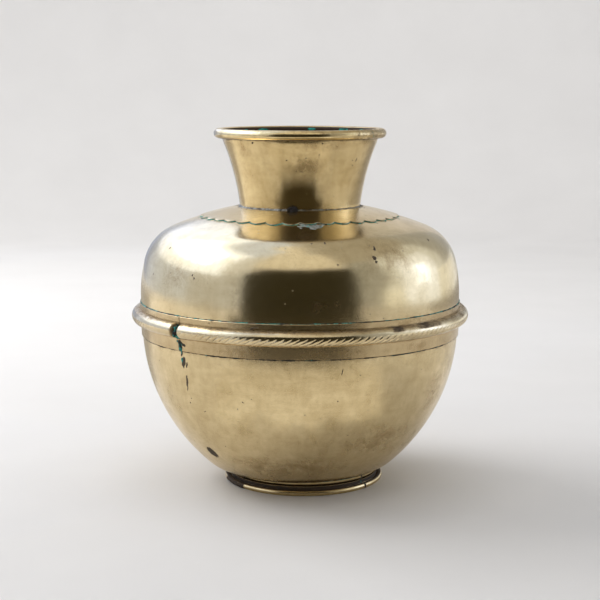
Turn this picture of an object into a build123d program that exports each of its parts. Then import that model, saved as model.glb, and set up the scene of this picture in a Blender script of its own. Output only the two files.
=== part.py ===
from build123d import *
from math import acos, copysign, cos, degrees, radians, sin
import os

# Brass kalash water pot, hammered out of sheet and soft-soldered together from separate pieces.
#
# Millimetres. +Z is up, z = 0 is the floor and the Z axis is the pot's axis. Its front faces -Y.
#
# Every sheet piece is turned about the axis, from a section drawn in the half plane of radius and height.
# A section follows a path. A path's heading is in degrees from straight up and grows as the path turns left,
# which is towards the axis on the way up. Each stretch of a path is a straight run or a bend.

# Sheet and wire
body_sheet = 1.2
neck_sheet = 1.2
flange_sheet = 0.9
band_sheet = 1.1
foot_sheet = 1.0
wire_clearance = 0.05

# Waist: the two halves of the body butt together behind the band
waist_radius = 149.0
waist_taper = 2.4
waist_gap = 0.6
band_height = 30.7
band_joint_gap = 0.8
joint_azimuth = -44.5

# Lower bowl, from the band down to its base
bowl_turn_radius = 60.0
bowl_turn_sweep = 1.5
bowl_side_radius = 174.0
bowl_side_sweep = 44.5
bowl_heel_radius = 40.0
base_height = 11.3
base_flat_width = 11.0
base_kick_radius = 18.0
base_kick_sweep = 7.0

# Shoulder, from the band up to the neck
wall_radius = 142.7
wall_sweep = 15.6
knuckle_radius = 43.8
knuckle_sweep = 55.0
crown_radius = 330.0

# Neck, flared up to a lip that is rolled out over a wire
neck_radius = 56.3
neck_tail = 4.0
neck_lean = 6.3
neck_flare_radius = 227.0
neck_flare_sweep = 15.7
neck_hole_clearance = 0.4
lip_return_radius = 18.0
lip_run = 1.7
lip_wire_radius = 3.2
lip_roll_sweep = 300.0

# Scalloped flange round the foot of the neck
flange_width = 37.2
scallop_count = 36
scallop_depth = 4.4

# Half-round rope moulding on the band
moulding_radius = 6.65
moulding_flank = 1.6
moulding_rise = 3.0
moulding_gap = 6.0
moulding_end_round = 2.0
joint_fill_height = 9.0
joint_fill_depth = 5.0

# Foot ring with its rolled bead, soldered on a little to the right of the pot's axis
foot_inset = 9.0
foot_wire_radius = 1.75
foot_wear = 0.15
foot_roll_sweep = 300.0
foot_waist_radius = 4.0
foot_waist_lean = 34.0
foot_lip_lean = 35.0
foot_lip_run = 5.4
foot_offset = 3.3

# Solder
neck_fillet = 1.7
band_fillet = 0.9
foot_fillet = 1.6
seam_bead_height = 5.0
seam_bead_depth = 0.8
lump_radius = 3.6
lump_azimuth = -8.0
patch_azimuth = 10.0
patch_length = 22.0
patch_width = 9.0
patch_thickness = 0.6

DOWN, INWARD, OUTWARD = 180.0, 90.0, -90.0
FULL_TURN = 360.0


def at(point):
    radius, height = point
    return Vector(radius, 0, height)


def run(length):
    return (length, 0.0)


def bend(radius, sweep):
    """A bend through sweep degrees: positive turns left, negative right."""
    return (radius, sweep)


def trace(start, heading, stretches, shift=0.0):
    """The edges of a path moved bodily to its right by shift, then its end point and its last heading."""
    angle = radians(heading)
    here = (start[0] + shift * cos(angle), start[1] + shift * sin(angle))
    edges = []
    for size, sweep in stretches:
        if sweep == 0:
            there = (here[0] - size * sin(angle), here[1] + size * cos(angle))
            edges.append(Edge.make_line(at(here), at(there)))
        else:
            turn = copysign(size, sweep) + shift
            last = angle + radians(sweep)
            halfway = angle + radians(sweep) / 2
            middle = (here[0] + turn * (cos(halfway) - cos(angle)), here[1] + turn * (sin(halfway) - sin(angle)))
            there = (here[0] + turn * (cos(last) - cos(angle)), here[1] + turn * (sin(last) - sin(angle)))
            edges.append(Edge.make_three_point_arc(at(here), at(middle), at(there)))
            angle = last
        here = there
    return edges, here, degrees(angle)


def end_of(path):
    """A path's end as the start and heading of whatever follows it."""
    return trace(*path)[1:]


def strip(path, thickness, gap=0.0):
    """The section of a sheet that lies to the right of a path, gap away from it, or to its left if negative."""
    near = trace(*path, gap)[0]
    far = trace(*path, gap + thickness)[0]
    first_cap = Edge.make_line(near[0].position_at(0), far[0].position_at(0))
    last_cap = Edge.make_line(near[-1].position_at(1), far[-1].position_at(1))
    return Face(Wire(near + [last_cap] + far + [first_cap]))


def polygon(*corners):
    return Face(Wire.make_polygon([at(corner) for corner in corners], close=True))


def left_over(section, *pieces):
    """The largest part of a section that the pieces' sections do not cover."""
    for piece in pieces:
        section = section - piece
    return max(section.faces(), key=lambda face: face.area)


def turned(section):
    return revolve(section, axis=Axis.Z)


def turned_between(section, middle_azimuth, width):
    """A section turned about the axis through an arc of that width, measured at its outside."""
    sweep = arc_angle(section, width)
    return revolve(section.rotate(Axis.Z, azimuth_angle(middle_azimuth) - sweep / 2), Axis.Z, sweep)


def turned_with_gap(section, gap_azimuth, gap):
    """A section turned about the axis all the way round except for a gap, measured at its outside."""
    sweep = arc_angle(section, gap)
    return revolve(section.rotate(Axis.Z, azimuth_angle(gap_azimuth) + sweep / 2), Axis.Z, FULL_TURN - sweep)


def arc_angle(section, width):
    return degrees(width / section.bounding_box().max.X)


def azimuth_angle(azimuth):
    """The angle about +Z of an azimuth measured from the front, positive to the viewer's right."""
    return azimuth - 90.0


def bowl_path(start_height=0.0):
    """The bowl's outer face, from that far below the middle of the waist down and in to the axis."""
    side = [
        run(band_height / 2 - start_height),
        bend(bowl_turn_radius, -bowl_turn_sweep),
        bend(bowl_side_radius, -bowl_side_sweep),
        bend(bowl_heel_radius, waist_taper + bowl_turn_sweep + bowl_side_sweep - INWARD),
    ]
    base = [run(base_flat_width), bend(base_kick_radius, -base_kick_sweep)]
    start = waist_point(-start_height)
    reach = end_of((start, DOWN - waist_taper, side + base))[0][0]
    dome = bend(reach / sin(radians(base_kick_sweep)), base_kick_sweep)
    return start, DOWN - waist_taper, side + base + [dome]


def waist_point(along, outside=0.0):
    """A point that far up the tapered waist from its middle, and that far outside the body's outer face."""
    slope = radians(waist_taper)
    return (
        waist_radius + along * sin(slope) + outside * cos(slope),
        waist_height + along * cos(slope) - outside * sin(slope),
    )


def waist_polygon(*corners):
    return polygon(*[waist_point(*corner) for corner in corners])


def shoulder_path(inner_radius, start_height=0.0):
    """The shoulder's outer face, from that far above the middle of the waist up and in to a radius."""
    wall = [
        run(band_height / 2 - start_height),
        bend(wall_radius, wall_sweep),
        bend(knuckle_radius, knuckle_sweep),
    ]
    start = waist_point(start_height)
    (radius, _), heading = end_of((start, -waist_taper, wall))
    last_heading = degrees(acos(cos(radians(heading)) - (radius - inner_radius) / crown_radius))
    return start, -waist_taper, wall + [bend(crown_radius, last_heading - heading)]


def crown_path(outer_radius, inner_radius):
    """The part of the shoulder's crown between two radii."""
    start, heading = end_of(shoulder_path(outer_radius))
    return start, heading, [bend(crown_radius, end_of(shoulder_path(inner_radius))[1] - heading)]


def crown_point(radius, above=0.0):
    (_, height), heading = end_of(shoulder_path(radius))
    return (radius + above * cos(radians(heading)), height + above * sin(radians(heading)))


def neck_path():
    """The neck's outer face, from its tail inside the body up to where the sheet's edge ends under the lip."""
    lean = radians(neck_lean)
    foot = crown_point(neck_radius)
    start = (foot[0] - neck_tail * sin(lean), foot[1] - neck_tail * cos(lean))
    flare = [run(neck_tail), bend(neck_flare_radius, -neck_flare_sweep)]
    back_upright = bend(lip_return_radius, neck_lean + neck_flare_sweep)
    return start, -neck_lean, flare + [back_upright, run(lip_run), bend(lip_wire_radius, -lip_roll_sweep)]


def foot_path():
    """The foot's outer face, from the sheet's edge round the wire and up to past the bowl's face."""
    centre_height = foot_wire_radius + foot_sheet - foot_wear
    start_angle = radians(foot_roll_sweep)
    start = (
        foot_radius() - foot_wire_radius * cos(start_angle),
        centre_height - foot_wire_radius * sin(start_angle),
    )
    wall = [
        bend(foot_waist_radius, foot_waist_lean),
        bend(foot_waist_radius, -foot_waist_lean - foot_lip_lean),
        run(foot_lip_run),
    ]
    return start, foot_roll_sweep, [bend(foot_wire_radius, -foot_roll_sweep)] + wall


def foot_radius():
    """The radius of the foot's wire, which follows the edge of the bowl's flat base."""
    start, heading, stretches = bowl_path()
    return end_of((start, heading, stretches[:4]))[0][0] + foot_inset


def filled_bowl():
    edges, end, _ = trace(*bowl_path())
    centre = (0.0, waist_height)
    return Face(Wire(edges + [Edge.make_line(at(end), at(centre)), Edge.make_line(at(centre), at(waist_point(0)))]))


def lower_bowl_section():
    return strip(bowl_path(waist_gap / 2), body_sheet)


def shoulder_section():
    return strip(shoulder_path(neck_radius + neck_hole_clearance, waist_gap / 2), -body_sheet)


def neck_section():
    return strip(neck_path(), -neck_sheet)


def flange_section():
    return strip(crown_path(neck_radius + flange_width, neck_radius + neck_hole_clearance), flange_sheet)


def band_section():
    half = band_height / 2
    return waist_polygon((-half, 0.0), (half, 0.0), (half, band_sheet), (-half, band_sheet))


def moulding_section():
    low = waist_point(moulding_rise - moulding_radius, band_sheet)
    outline = [run(moulding_flank), bend(moulding_radius, DOWN), run(moulding_flank)]
    edges, end, _ = trace(low, OUTWARD - waist_taper, outline)
    return Face(Wire(edges + [Edge.make_line(at(end), at(low))]))


def neck_solder_section():
    """Solder in the corner of neck and flange, and in the gap round the neck where it passes through."""
    low = crown_point(neck_radius - neck_sheet / 2, -body_sheet)
    top = crown_point(neck_radius, flange_sheet + neck_fillet)
    side = crown_point(neck_radius + neck_fillet, flange_sheet)
    gap_side = crown_point(neck_radius + 2 * neck_hole_clearance, -body_sheet)
    whole = polygon(low, top, (top[0] + neck_hole_clearance, top[1]), side, gap_side)
    return left_over(whole, neck_section(), shoulder_section(), flange_section())


def band_solder_section(end):
    """Solder along one edge of the band. end is +1 for the upper edge and -1 for the lower."""
    edge = end * band_height / 2
    tip = edge + end * band_fillet
    whole = waist_polygon((edge, band_fillet), (tip, 0.0), (tip, -body_sheet), (edge, -body_sheet))
    return left_over(whole, lower_bowl_section(), shoulder_section(), hidden_side())


def hidden_side():
    """Everything inside the body's inner face by the band, which a seam's solder does not reach."""
    half = band_height
    return waist_polygon((-half, -body_sheet / 2), (half, -body_sheet / 2), (half, -half), (-half, -half))


def waist_seam_section():
    """Solder between the butted edges of the two halves, with the bead that runs round inside the body."""
    gap, bead = waist_gap / 2, seam_bead_height / 2
    return waist_polygon(
        (-gap, 0.0), (gap, 0.0), (gap, -body_sheet), (bead, -body_sheet),
        (0.0, -body_sheet - seam_bead_depth), (-bead, -body_sheet), (-gap, -body_sheet),
    )


def wire_section(path, radius):
    """The round wire that the last or first bend of a rolled edge is wrapped over, right of that point."""
    (point_radius, point_height), heading = path
    angle = radians(heading)
    centre = (point_radius + radius * cos(angle), point_height + radius * sin(angle))
    return Plane(origin=at(centre), z_dir=(0, 1, 0)) * Circle(radius - wire_clearance).face()


def set_off(solid):
    """Something turned about the foot's own axis, which stands a little to the right of the pot's."""
    return Pos(foot_offset, 0, 0) * solid


def foot_ring():
    floor = Pos(0, 0, -base_height / 2) * Box(4 * foot_radius(), 4 * foot_radius(), base_height)
    return set_off(turned(strip(foot_path(), -foot_sheet))) - floor - turned(filled_bowl())


def foot_solder():
    """Solder inside the foot, in the corner between it and the bowl's base."""
    wall_top = trace(*foot_path(), -foot_sheet)[1]
    low = (wall_top[0] - 3 * foot_fillet, wall_top[1] - 3 * foot_fillet)
    whole = polygon((low[0], wall_top[1]), low, (low[0] + 2 * foot_fillet, low[1] - foot_fillet), wall_top)
    return left_over_solid(set_off(turned(whole)), foot_ring(), turned(filled_bowl()))


def left_over_solid(solid, *pieces):
    """The largest part of a solid that the pieces do not cover."""
    for piece in pieces:
        solid = solid - piece
    return max(solid.solids(), key=lambda part: part.volume)


def neck_flange():
    """The flange, its outer edge cut to scallops that bulge outwards and meet in cusps."""
    crest = neck_radius + flange_width - scallop_depth / scallop_count
    step = FULL_TURN / scallop_count
    below = crown_point(neck_radius + flange_width)[1] - flange_width
    arcs = []
    for count in range(scallop_count):
        azimuths = [count * step - step / 2, count * step, count * step + step / 2]
        radii = [crest - scallop_depth, crest, crest - scallop_depth]
        points = [on_plan(radius, azimuth, below) for radius, azimuth in zip(radii, azimuths)]
        arcs.append(Edge.make_three_point_arc(*points))
    return turned(flange_section()) & extrude(Face(Wire(arcs)), 2 * flange_width, dir=(0, 0, 1))


def on_plan(radius, azimuth, height):
    angle = radians(azimuth_angle(azimuth))
    return Vector(radius * cos(angle), radius * sin(angle), height)


def rope_moulding():
    moulding = turned_with_gap(moulding_section(), joint_azimuth, moulding_gap)
    ends = moulding.faces().filter_by(GeomType.PLANE).sort_by(SortBy.AREA)[-2:]
    dressed = [edge for face in ends for edge in face.edges() if edge.geom_type == GeomType.CIRCLE]
    return fillet(dressed, moulding_end_round)


def joint_solder():
    """Solder in the band's butt joint, spreading into the gap between the moulding's ends."""
    low, high = moulding_rise - joint_fill_height / 2, moulding_rise + joint_fill_height / 2
    outside = band_sheet + joint_fill_depth
    fill = waist_polygon((low, band_sheet), (high, band_sheet), (moulding_rise, outside))
    seam = turned_between(band_section(), joint_azimuth, band_joint_gap)
    ends_gap = arc_angle(moulding_section(), moulding_gap)
    sweep_start = azimuth_angle(joint_azimuth) - ends_gap / 2
    return seam + revolve(fill.rotate(Axis.Z, sweep_start), Axis.Z, ends_gap)


def solder_lump():
    """A lump left on the flange where the neck's own seam meets it."""
    radius, height = crown_point(neck_radius + lump_radius, flange_sheet)
    place = on_plan(radius, lump_azimuth, height)
    lump = Pos(*place) * Sphere(lump_radius)
    return lump - turned(neck_section()) - turned(neck_solder_section()) - turned(layer_below_flange())


def layer_below_flange():
    """The flange and what is under it, as deep as a lump can reach."""
    path = crown_path(neck_radius + flange_width, neck_radius)
    return strip(path, -2 * lump_radius - flange_sheet, flange_sheet)


def shoulder_patch():
    """A smear of solder on the shoulder, against the flange's scallops."""
    inner = neck_radius + flange_width
    outer = inner + patch_width
    layer = turned(strip(crown_path(outer + patch_thickness, inner - scallop_depth), patch_thickness))
    middle = on_plan((inner + outer) / 2, patch_azimuth, crown_point(outer)[1] - patch_width)
    outline = Ellipse(patch_length / 2, patch_width / 2).face().rotate(Axis.Z, patch_azimuth)
    return layer & extrude(Pos(*middle) * outline, 3 * patch_width, dir=(0, 0, 1))


def bowl_depth():
    """How far the flat of the base lies below the middle of the waist."""
    start, heading, stretches = bowl_path()
    return start[1] - end_of((start, heading, stretches[:4]))[0][1]


waist_height = 0.0
waist_height = base_height + bowl_depth()

pieces = {
    "lower_bowl": lambda: turned(lower_bowl_section()),
    "shoulder_shell": lambda: turned(shoulder_section()),
    "waist_seam_solder": lambda: turned(waist_seam_section()),
    "waist_band": lambda: turned_with_gap(band_section(), joint_azimuth, band_joint_gap),
    "rope_moulding": rope_moulding,
    "joint_solder": joint_solder,
    "band_upper_solder": lambda: turned(band_solder_section(1)),
    "band_lower_solder": lambda: turned(band_solder_section(-1)),
    "neck_collar": lambda: turned(neck_section()),
    "lip_wire": lambda: turned(wire_section(end_of(neck_path()), lip_wire_radius)),
    "neck_flange": neck_flange,
    "neck_solder": lambda: turned(neck_solder_section()),
    "solder_lump": solder_lump,
    "shoulder_patch": shoulder_patch,
    "foot_ring": foot_ring,
    "foot_wire": lambda: set_off(turned(wire_section(foot_path()[:2], foot_wire_radius))),
    "foot_solder": foot_solder,
}

os.makedirs("parts", exist_ok=True)
for name, make in pieces.items():
    export_step(make(), f"parts/{name}.step")
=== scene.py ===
"""Old hammered brass water pot, set on a plain pale floor under soft studio light.

The pieces stand in the CAD frame: +Z up, the pot's axis on Z, its front facing -Y. Sizes in the script are in
millimetres and are turned into metres as meshes are made. Azimuths are in degrees from the front, positive
towards the viewer's right. A section is drawn in the half plane of radius and height, along a path of straight
runs and bends, as in the part's own source.
"""

from math import acos, atan2, ceil, copysign, cos, degrees, hypot, pi, radians, sin, sqrt

import bmesh
import bpy
import numpy as np
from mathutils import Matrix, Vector, noise


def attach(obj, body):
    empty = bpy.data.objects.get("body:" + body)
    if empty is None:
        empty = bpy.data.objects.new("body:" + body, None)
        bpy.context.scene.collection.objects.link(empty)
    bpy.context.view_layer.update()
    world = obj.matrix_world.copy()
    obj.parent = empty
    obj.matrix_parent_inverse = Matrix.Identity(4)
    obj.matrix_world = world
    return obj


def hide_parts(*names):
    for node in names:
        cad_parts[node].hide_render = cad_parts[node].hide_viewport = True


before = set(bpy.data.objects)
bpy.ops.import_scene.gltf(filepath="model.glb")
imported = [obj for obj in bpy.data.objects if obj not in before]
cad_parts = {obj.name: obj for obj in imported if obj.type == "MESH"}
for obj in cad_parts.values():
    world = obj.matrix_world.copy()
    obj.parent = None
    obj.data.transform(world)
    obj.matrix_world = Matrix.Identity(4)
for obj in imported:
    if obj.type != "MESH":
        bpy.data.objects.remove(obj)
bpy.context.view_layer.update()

MM = 0.001
FULL_TURN = 360.0
DOWN = 180.0

# Sheet, wire and waist
body_sheet, neck_sheet, flange_sheet, band_sheet, foot_sheet = 1.2, 1.2, 0.9, 1.1, 1.0
waist_radius, waist_height, waist_taper, waist_gap = 149.0, 156.575, 2.4, 0.6
band_height, band_joint_gap, joint_azimuth = 30.7, 0.8, -44.5
band_half = band_height / 2
band_low_edge, band_high_edge, band_radius = 141.2, 171.9, 150.8

# Neck, lip and flange
neck_radius, neck_tail, neck_lean, hole_clearance = 56.3, 4.0, 6.3, 0.4
lip_wire_radius, lip_roll_sweep = 3.2, 300.0
flange_edge, scallop_count, scallop_depth = 93.4, 36, 4.4

# Rope moulding
moulding_radius, moulding_flank, moulding_rise, moulding_gap = 6.65, 1.6, 3.0, 6.0
strand_count, moulding_crest_radius, moulding_middle = 150, 154.0, 159.6

# Foot
foot_radius, foot_offset, foot_wire_radius, foot_centre_height = 72.64, 3.3, 1.75, 2.6


# What a mesh can carry from point to point for the materials to read
# The grime mark carries dirt and also painted shade: under the lip's roll, in the foot's recess, in the rope's
# grooves and along the moulding's lower edge.
MARK_KINDS = ("grime", "green", "bare", "inside")


# ---------------------------------------------------------------- paths and sections

def run(length):
    return (length, 0.0)


def bend(radius, sweep):
    return (radius, sweep)


def trace(start, heading, stretches, step=2.0):
    """Points along a path as rows of radius, height and the unit vector to the path's right."""
    angle, (r, z) = radians(heading), start
    rows = [(r, z, cos(angle), sin(angle))]
    for size, sweep in stretches:
        if sweep == 0:
            count = max(1, ceil(size / step))
            for k in range(1, count + 1):
                far = size * k / count
                rows.append((r - far * sin(angle), z + far * cos(angle), cos(angle), sin(angle)))
        else:
            turn, full = copysign(size, sweep), radians(sweep)
            count = max(4, ceil(abs(full) * size / step))
            for k in range(1, count + 1):
                a = angle + full * k / count
                rows.append((r + turn * (cos(a) - cos(angle)), z + turn * (sin(a) - sin(angle)), cos(a), sin(a)))
            angle += full
        r, z = rows[-1][:2]
    return np.array(rows)


def waist_point(along, outside=0.0):
    slope = radians(waist_taper)
    return (
        waist_radius + along * sin(slope) + outside * cos(slope),
        waist_height + along * cos(slope) - outside * sin(slope),
    )


def bowl_face(step=2.0):
    """The bowl's outer face from its butted edge to the axis, each row's vector pointing out of the metal."""
    base = [run(11.0), bend(18.0, -7.0)]
    side = [run(band_half - waist_gap / 2), bend(60.0, -1.5), bend(174.0, -44.5), bend(40.0, -41.6)]
    start = waist_point(-waist_gap / 2)
    reach = trace(start, DOWN - waist_taper, side + base)[-1, 0]
    rows = trace(start, DOWN - waist_taper, side + base + [bend(reach / sin(radians(7.0)), 7.0)], step)
    rows[:, 2:] *= -1
    return rows


def shoulder_face(inner_radius, step=2.0):
    """The shoulder's outer face from its butted edge in to a radius."""
    wall = [run(band_half - waist_gap / 2), bend(142.7, 15.6), bend(43.8, 55.0)]
    start = waist_point(waist_gap / 2)
    top = trace(start, -waist_taper, wall)[-1]
    heading = 15.6 + 55.0 - waist_taper
    last = degrees(acos(cos(radians(heading)) - (top[0] - inner_radius) / 330.0))
    return trace(start, -waist_taper, wall + [bend(330.0, last - heading)], step)


SHOULDER = shoulder_face(neck_radius, 0.5)


def crown_row(radius):
    """The row of the shoulder's outer face at a radius on its crown, by interpolation."""
    crown = SHOULDER[SHOULDER[:, 1] > waist_height + 60][::-1]
    return np.array([np.interp(radius, crown[:, 0], crown[:, k]) for k in range(4)])


def neck_face(step=1.5):
    lean = radians(neck_lean)
    foot = crown_row(neck_radius)
    start = (foot[0] - neck_tail * sin(lean), foot[1] - neck_tail * cos(lean))
    wall = [run(neck_tail), bend(227.0, -15.7), bend(18.0, 22.0), run(1.7)]
    rows = trace(start, -neck_lean, wall, step)
    roll = trace(tuple(rows[-1, :2]), 0.0, [bend(lip_wire_radius, -lip_roll_sweep)], 0.6)
    return np.vstack([rows, roll[1:]])


def sheet_loop(face, thickness, edge_round=0.25):
    """A closed section: the face, then the sheet's back in the other direction, with the free edges eased."""
    back = face.copy()
    back[:, :2] -= thickness * face[:, 2:]
    loop = []
    for rows, ends in ((face, 1), (back[::-1], -1)):
        rows = rows.copy()
        if edge_round:
            for end, inner in ((0, 1), (-1, -2)):
                away = rows[inner, :2] - rows[end, :2]
                length = hypot(*away)
                rows[end, :2] += away / length * min(edge_round, length * 0.4)
        loop.append(rows)
    if not edge_round:
        return np.vstack(loop)
    tips = []
    for end in (-1, 0):
        for share in (0.25, 0.75):
            tip = face[end].copy()
            tip[:2] -= thickness * (share if end == -1 else 1 - share) * face[end, 2:]
            tips.append(tip)
    return np.vstack([loop[0], tips[:2], loop[1], tips[2:]])


def corner_loop(corners, step, ease=0.3):
    """A closed section from corner points, with each corner eased and its rows facing out."""
    corners = [np.array(c, float) for c in corners]
    middle = sum(corners) / len(corners)
    rows = []
    for here, there in zip(corners, corners[1:] + corners[:1]):
        along = there - here
        length = hypot(*along)
        unit = along / length
        out = np.array([unit[1], -unit[0]])
        if np.dot(out, (here + there) / 2 - middle) < 0:
            out = -out
        cut = min(ease, length * 0.3)
        count = max(1, ceil((length - 2 * cut) / step))
        for k in range(count + 1):
            point = here + unit * (cut + (length - 2 * cut) * k / count)
            rows.append((*point, *out))
    return np.array(rows)


# ---------------------------------------------------------------- hand work

def ripple(x, y, z, size, seed=0.0):
    return noise.noise(Vector((x / size + seed, y / size - seed, z / size + 0.37 * seed)))


def smooth_step(low, high, value):
    t = min(1.0, max(0.0, (value - low) / (high - low)))
    return t * t * (3 - 2 * t)


def hammering(x, y, z):
    """How far the hammered sheet lies off its true shape, in mm."""
    return (
        0.34 * ripple(x, y, z, 95.0, 3.1)
        + 0.15 * ripple(x, y, z, 34.0, 7.7)
        + 0.065 * ripple(x, y, z, 15.0, 1.9)
        + 0.012 * ripple(x, y, z, 7.0, 5.3)
    )


def body_push(x, y, z, away_from_band):
    return hammering(x, y, z) * smooth_step(0.0, 22.0, away_from_band)


def neck_push(x, y, z):
    return 0.7 * hammering(x, y, z)


def on_plan(radius, azimuth):
    angle = radians(azimuth - 90.0)
    return radius * cos(angle), radius * sin(angle)


def azimuth_of(x, y):
    return degrees(atan2(x, -y))


# ---------------------------------------------------------------- meshes

def linked(name, data):
    """An object for a mesh, light or camera, put into the scene."""
    made = bpy.data.objects.new(name, data)
    bpy.context.collection.objects.link(made)
    return made


def finish_mesh(mesh, sharp=38.0):
    """Closes seams and poles, turns the faces outwards and smooths all but sharp edges."""
    tidy = bmesh.new()
    tidy.from_mesh(mesh)
    bmesh.ops.remove_doubles(tidy, verts=tidy.verts, dist=1e-7)
    bmesh.ops.dissolve_degenerate(tidy, edges=tidy.edges, dist=1e-8)
    bmesh.ops.recalc_face_normals(tidy, faces=tidy.faces)
    tidy.to_mesh(mesh)
    tidy.free()
    mesh.polygons.foreach_set("use_smooth", [True] * len(mesh.polygons))
    mesh.set_sharp_from_angle(angle=radians(sharp))
    mesh.update()


def mesh_object(name, points, faces, material=None, marks=None, sharp=38.0):
    """A finished object from points in mm, with a float attribute for each kind of mark."""
    mesh = bpy.data.meshes.new(name)
    mesh.from_pydata([tuple(p) for p in np.asarray(points) * MM], [], faces)
    for kind, values in (marks or {}).items():
        layer = mesh.attributes.new(kind, "FLOAT", "POINT")
        layer.data.foreach_set("value", np.asarray(values, np.float32))
    finish_mesh(mesh, sharp)
    if material:
        mesh.materials.append(material)
    return linked(name, mesh)


def swept_faces(turns, count, closed):
    """The faces of a closed section of so many points carried round, its two ends capped if it stops short."""
    columns = turns if closed else turns + 1
    faces = []
    for k in range(turns):
        here, there = k * count, ((k + 1) % columns) * count
        for i in range(count):
            j = (i + 1) % count
            faces.append((here + i, there + i, there + j, here + j))
    if not closed:
        faces.append(tuple(range(count)))
        faces.append(tuple(reversed(range(turns * count, (turns + 1) * count))))
    return faces


def ring(name, loop_at, turns, material, push=None, marks=None, span=None, offset=0.0, sharp=38.0):
    """A piece swept round the axis. loop_at gives the closed section for an azimuth, span the azimuths if not all."""
    closed = span is None
    first, last = span or (-180.0, 180.0)
    points, mark_rows = [], []
    for k in range(turns if closed else turns + 1):
        azimuth = first + (last - first) * k / turns
        loop = loop_at(azimuth)
        ax, ay = on_plan(1.0, azimuth)
        for index, (r, z, out_r, out_z) in enumerate(loop):
            x, y = r * ax, r * ay
            if push:
                far = push(x, y, z, index)
                r2, z = r + out_r * far, z + out_z * far
                x, y = r2 * ax, r2 * ay
            points.append((x + offset, y, z))
            if marks:
                mark_rows.append(marks(azimuth, r, z, index))
    kinds = {}
    if marks:
        kinds = {kind: [row.get(kind, 0.0) for row in mark_rows] for kind in MARK_KINDS}
    return mesh_object(name, points, swept_faces(turns, len(loop), closed), material, kinds, sharp)


def spots(azimuth, height, radius, places):
    """How strongly a point lies in any of some oval places: (azimuth, height, half width, half height)."""
    best = 0.0
    for where, level, half_wide, half_high in places:
        wide = radians(azimuth - where) * radius / half_wide
        high = (height - level) / half_high
        best = max(best, 1.0 - smooth_step(0.5, 1.3, hypot(wide, high)))
    return best


def smear(name, surface, azimuths, reach, thickness, mask, columns, rows, material, push, marks):
    """A thin uneven deposit on a surface: a row of the surface for each radius, and its share of the thickness."""
    points, marked = [], []
    for layer in (1, 0):
        for i in range(columns + 1):
            azimuth = azimuths[0] + (azimuths[1] - azimuths[0]) * i / columns
            for j in range(rows + 1):
                r, z, out_r, out_z = surface(reach[0] + (reach[1] - reach[0]) * j / rows)
                ax, ay = on_plan(1.0, azimuth)
                depth = mask(azimuth, r, z) if layer else 0.0
                lift = -0.12 + thickness * depth if layer else -0.5
                lift += push(r * ax, r * ay, z)
                r2, z2 = r + out_r * lift, z + out_z * lift
                points.append((r2 * ax, r2 * ay, z2))
                marked.append(marks(azimuth, r, z))
    width = rows + 1
    base = (columns + 1) * width
    faces = []
    for i in range(columns):
        for j in range(rows):
            a, b, c, d = i * width + j, (i + 1) * width + j, (i + 1) * width + j + 1, i * width + j + 1
            faces.append((a, b, c, d))
            faces.append((base + d, base + c, base + b, base + a))
    rim = [i * width for i in range(columns + 1)]
    rim += [columns * width + j for j in range(1, rows + 1)]
    rim += [i * width + rows for i in range(columns - 1, -1, -1)]
    rim += [j for j in range(rows - 1, 0, -1)]
    for a, b in zip(rim, rim[1:] + rim[:1]):
        faces.append((b, a, base + a, base + b))
    kinds = {kind: [row.get(kind, 0.0) for row in marked] for kind in MARK_KINDS}
    return mesh_object(name, points, faces, material, kinds, 60.0)


# ---------------------------------------------------------------- node benches

class Value:
    """A node's output, or an input of the tree, that sums can be written with."""

    def __init__(self, bench, socket):
        self.bench, self.socket = bench, socket

    def sum(self, operation, first, second=None, clamp=False):
        settings = {"operation": operation, "use_clamp": clamp}
        inputs = {0: first} if second is None else {0: first, 1: second}
        return self.bench.node("ShaderNodeMath", settings, inputs).out(0)

    def __add__(self, other):
        return self.sum("ADD", self, other)

    def __radd__(self, other):
        return self.sum("ADD", other, self)

    def __sub__(self, other):
        return self.sum("SUBTRACT", self, other)

    def __rsub__(self, other):
        return self.sum("SUBTRACT", other, self)

    def __mul__(self, other):
        return self.sum("MULTIPLY", self, other)

    def __rmul__(self, other):
        return self.sum("MULTIPLY", other, self)

    def __pow__(self, other):
        return self.sum("POWER", self, other)

    def __abs__(self):
        return self.sum("ABSOLUTE", self)

    def fraction(self):
        return self.sum("FRACT", self)

    def capped(self):
        return self.sum("ADD", self, 0.0, clamp=True)

    def most(self, other):
        return self.sum("MAXIMUM", self, other)


class Made:
    """A node just put down, to take an output from."""

    def __init__(self, bench, node):
        self.bench, self.node = bench, node

    def out(self, key):
        return Value(self.bench, self.node.outputs[key])


class Bench:
    """Puts nodes into one tree."""

    def __init__(self, tree):
        self.tree = tree

    def node(self, kind, settings=None, inputs=None):
        node = self.tree.nodes.new(kind)
        for key, value in (settings or {}).items():
            setattr(node, key, value)
        for key, value in (inputs or {}).items():
            if isinstance(value, Value):
                self.tree.links.new(value.socket, node.inputs[key])
            else:
                node.inputs[key].default_value = value
        return Made(self, node)

    def edge(self, value, low, high):
        """0 below low, 1 above high, eased between."""
        settings = {"interpolation_type": "SMOOTHSTEP"}
        return self.node("ShaderNodeMapRange", settings, {0: value, 1: low, 2: high, 3: 0.0, 4: 1.0}).out(0)

    def blend(self, share, first, second):
        """The first colour at 0, the second at 1."""
        made = self.node("ShaderNodeMix", {"data_type": "RGBA"}, {0: share, 6: first, 7: second})
        return made.out(2)


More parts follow.
